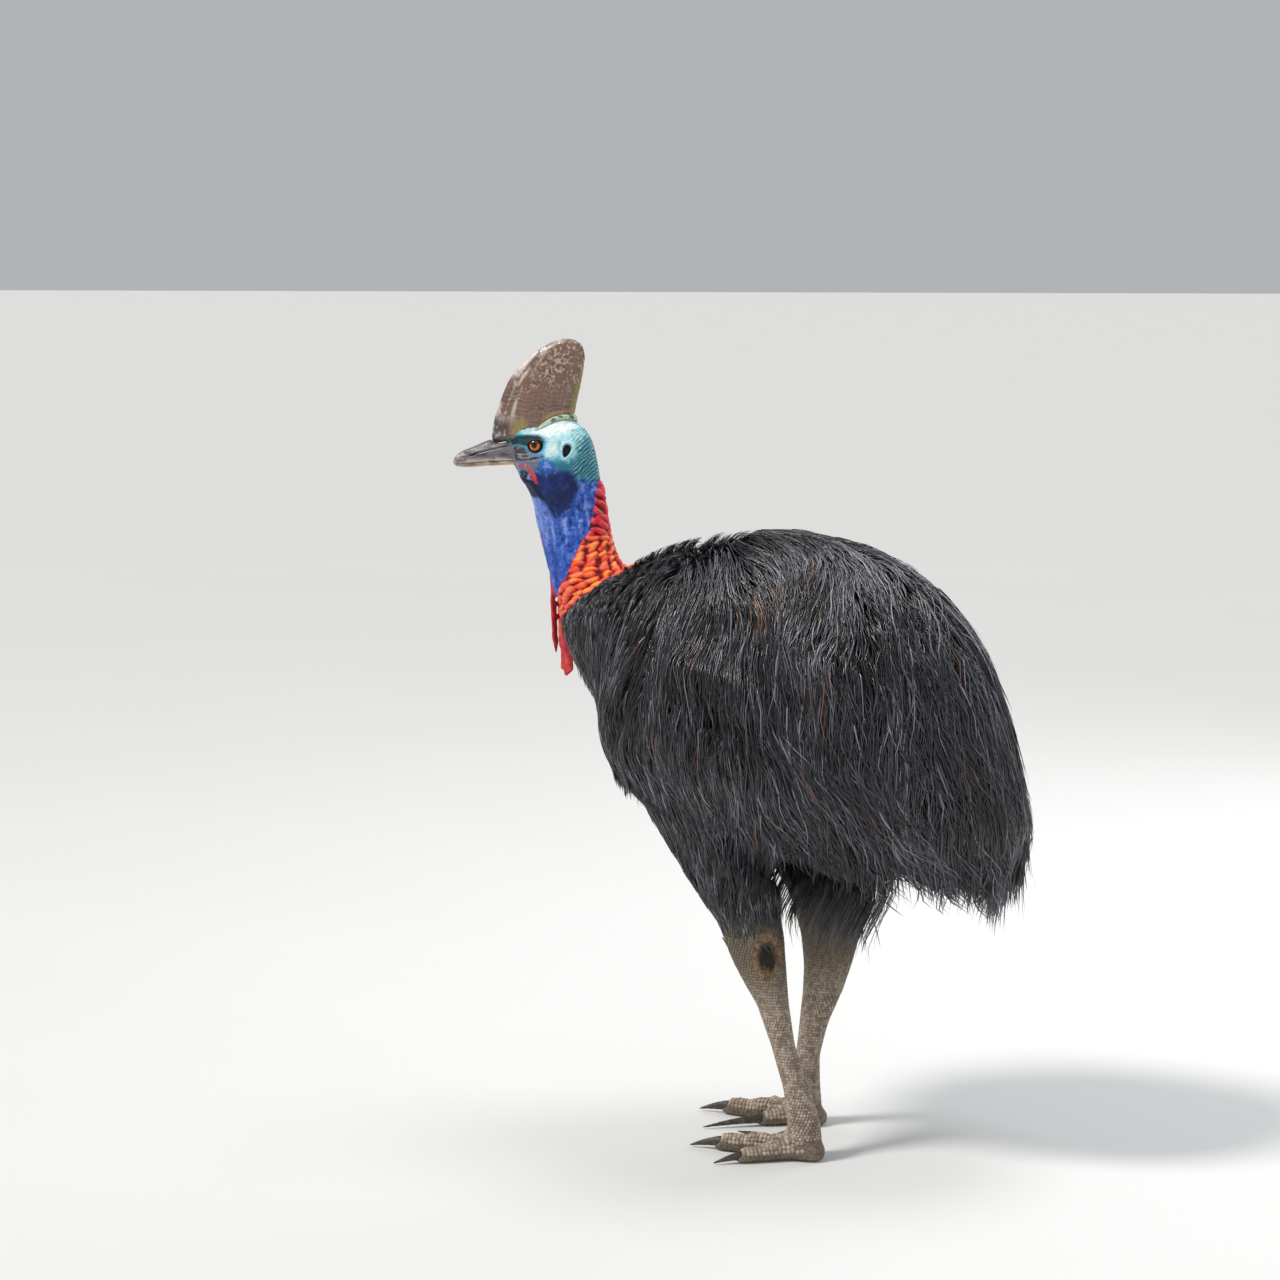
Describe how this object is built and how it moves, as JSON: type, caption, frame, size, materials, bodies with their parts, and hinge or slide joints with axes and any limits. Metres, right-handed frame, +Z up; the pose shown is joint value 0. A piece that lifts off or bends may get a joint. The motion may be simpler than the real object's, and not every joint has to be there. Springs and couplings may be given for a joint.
{
  "type": "cassowary",
  "caption": "Life-size standing southern cassowary with a tall horn casque, a blue and red bare neck with two wattles, and a hanging coat of black plumage.",
  "frame": {"origin": "on the floor, at the middle of the bird's outline seen from above", "axes": "-Y the way the bird faces, +X its left side, +Z up"},
  "size_m": [0.5052, 1.0065, 1.3625],
  "materials": {
    "blue_skin": "bare wrinkled skin, slightly shiny",
    "red_skin": "bare folded skin, slightly shiny",
    "wattle_skin": "soft bare skin",
    "casque_horn": "worn horn with a satin shine",
    "bill_horn": "worn horn, satin",
    "eye": "wet and glossy",
    "plumage": "long hair-like feathers with a soft sheen",
    "leg_scales": "dry scales, matt",
    "claw_horn": "smooth dark horn"
  },
  "bodies": {
    "root": {"head": "blue_skin", "neck_upper": "blue_skin", "neck_lower": "red_skin", "wattle_left": "wattle_skin", "wattle_right": "wattle_skin", "casque": "casque_horn", "bill_upper": "bill_horn", "bill_lower": "bill_horn", "eye_left": "eye", "eye_right": "eye", "trunk": "plumage", "tail": "plumage", "wing_left": "plumage", "wing_right": "plumage", "thigh_left": "plumage", "thigh_right": "plumage", "shank_left": "leg_scales", "foot_left": "leg_scales", "toe_inner_left": "leg_scales", "claw_inner_left": "claw_horn", "toe_middle_left": "leg_scales", "claw_middle_left": "claw_horn", "toe_outer_left": "leg_scales", "claw_outer_left": "claw_horn", "shank_right": "leg_scales", "foot_right": "leg_scales", "toe_inner_right": "leg_scales", "claw_inner_right": "claw_horn", "toe_middle_right": "leg_scales", "claw_middle_right": "claw_horn", "toe_outer_right": "leg_scales", "claw_outer_right": "claw_horn"}
  },
  "joints": []
}
